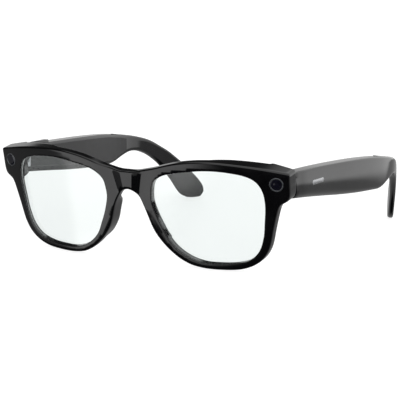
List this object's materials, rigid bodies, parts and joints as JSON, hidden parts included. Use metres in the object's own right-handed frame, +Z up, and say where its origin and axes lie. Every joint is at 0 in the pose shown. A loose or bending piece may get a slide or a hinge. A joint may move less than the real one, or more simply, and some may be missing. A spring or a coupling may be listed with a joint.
{
  "type": "smart glasses",
  "caption": "Camera smart glasses: bowed black front with clear lenses, camera and capture light at the end pieces, folding temples with open-ear speakers, touch pad, button and power switch.",
  "frame": {"origin": "on the floor that the rims and ear tips stand on, under the middle of the whole object's box", "axes": "+X to the wearer's left, +Y back towards the ears, so the front faces -Y, +Z up"},
  "size_m": [0.1516, 0.1592, 0.0476],
  "materials": {
    "frame_black": "polished black acetate-like plastic",
    "cover_black": "satin black plastic",
    "clear_lens": "clear, with a faint cool tint and coating",
    "window_glass": "black-tinted glass",
    "ring_grey": "dark anodised, satin",
    "module_black": "moulded",
    "circuit_board": "solder mask over glass fibre",
    "flex_ribbon": "polyimide",
    "gold_contact": "gold plated",
    "screw_steel": "plain",
    "hinge_steel": "satin",
    "can_steel": "pressed sheet",
    "battery_wrap": "film wrap",
    "vent_mesh": "dark woven mesh",
    "speaker_black": "moulded",
    "badge_silver": "bright silver",
    "switch_black": "moulded"
  },
  "bodies": {
    "front": {"front_frame": "frame_black", "brow_cover": "cover_black", "left_end_cover": "cover_black", "right_end_cover": "cover_black", "left_lens": "clear_lens", "right_lens": "clear_lens", "camera_bezel": "ring_grey", "camera_window": "window_glass", "camera_module": "module_black", "led_bezel": "ring_grey", "led_window": "window_glass", "led_board": "circuit_board", "front_flex": "flex_ribbon", "bridge_microphone": "can_steel", "charging_contacts": "gold_contact", "left_front_hinge": "hinge_steel", "right_front_hinge": "hinge_steel", "front_hinge_screws": "screw_steel", "hinge_pins": "screw_steel"},
    "left_temple": {"left_temple_shell": "frame_black", "left_inner_cover": "cover_black", "left_temple_hinge": "hinge_steel", "left_hinge_screws": "screw_steel", "left_battery": "battery_wrap", "left_speaker": "speaker_black", "left_speaker_mesh": "vent_mesh", "left_temple_flex": "flex_ribbon", "left_core_wire": "hinge_steel", "left_microphone": "can_steel", "left_badge": "badge_silver", "power_switch": "switch_black"},
    "right_temple": {"right_temple_shell": "frame_black", "right_inner_cover": "cover_black", "right_temple_hinge": "hinge_steel", "right_hinge_screws": "screw_steel", "main_board": "circuit_board", "shield_can": "can_steel", "touch_flex": "flex_ribbon", "right_speaker": "speaker_black", "right_speaker_mesh": "vent_mesh", "right_core_wire": "hinge_steel", "right_microphone": "can_steel", "right_badge": "badge_silver", "tact_switch": "can_steel"},
    "power_slider": {"power_slider": "switch_black"},
    "capture_button": {"capture_button": "frame_black"}
  },
  "joints": [
    {"name": "left_temple_hinge", "type": "hinge", "parent": "front", "child": "left_temple", "pos_m": [0.0657, -0.0592, 0.0384], "axis": [0, 0, 1], "range_deg": [0, 87]},
    {"name": "right_temple_hinge", "type": "hinge", "parent": "front", "child": "right_temple", "pos_m": [-0.0657, -0.0592, 0.0384], "axis": [0, 0, -1], "range_deg": [0, 67]},
    {"name": "power_slide", "type": "slide", "parent": "left_temple", "child": "power_slider", "axis": [0, 1, 0], "range_m": [0, 0.002]},
    {"name": "button_press", "type": "slide", "parent": "right_temple", "child": "capture_button", "axis": [0, 0, -1], "range_m": [0, 0.0004], "stiffness_N_per_m": 1500}
  ]
}
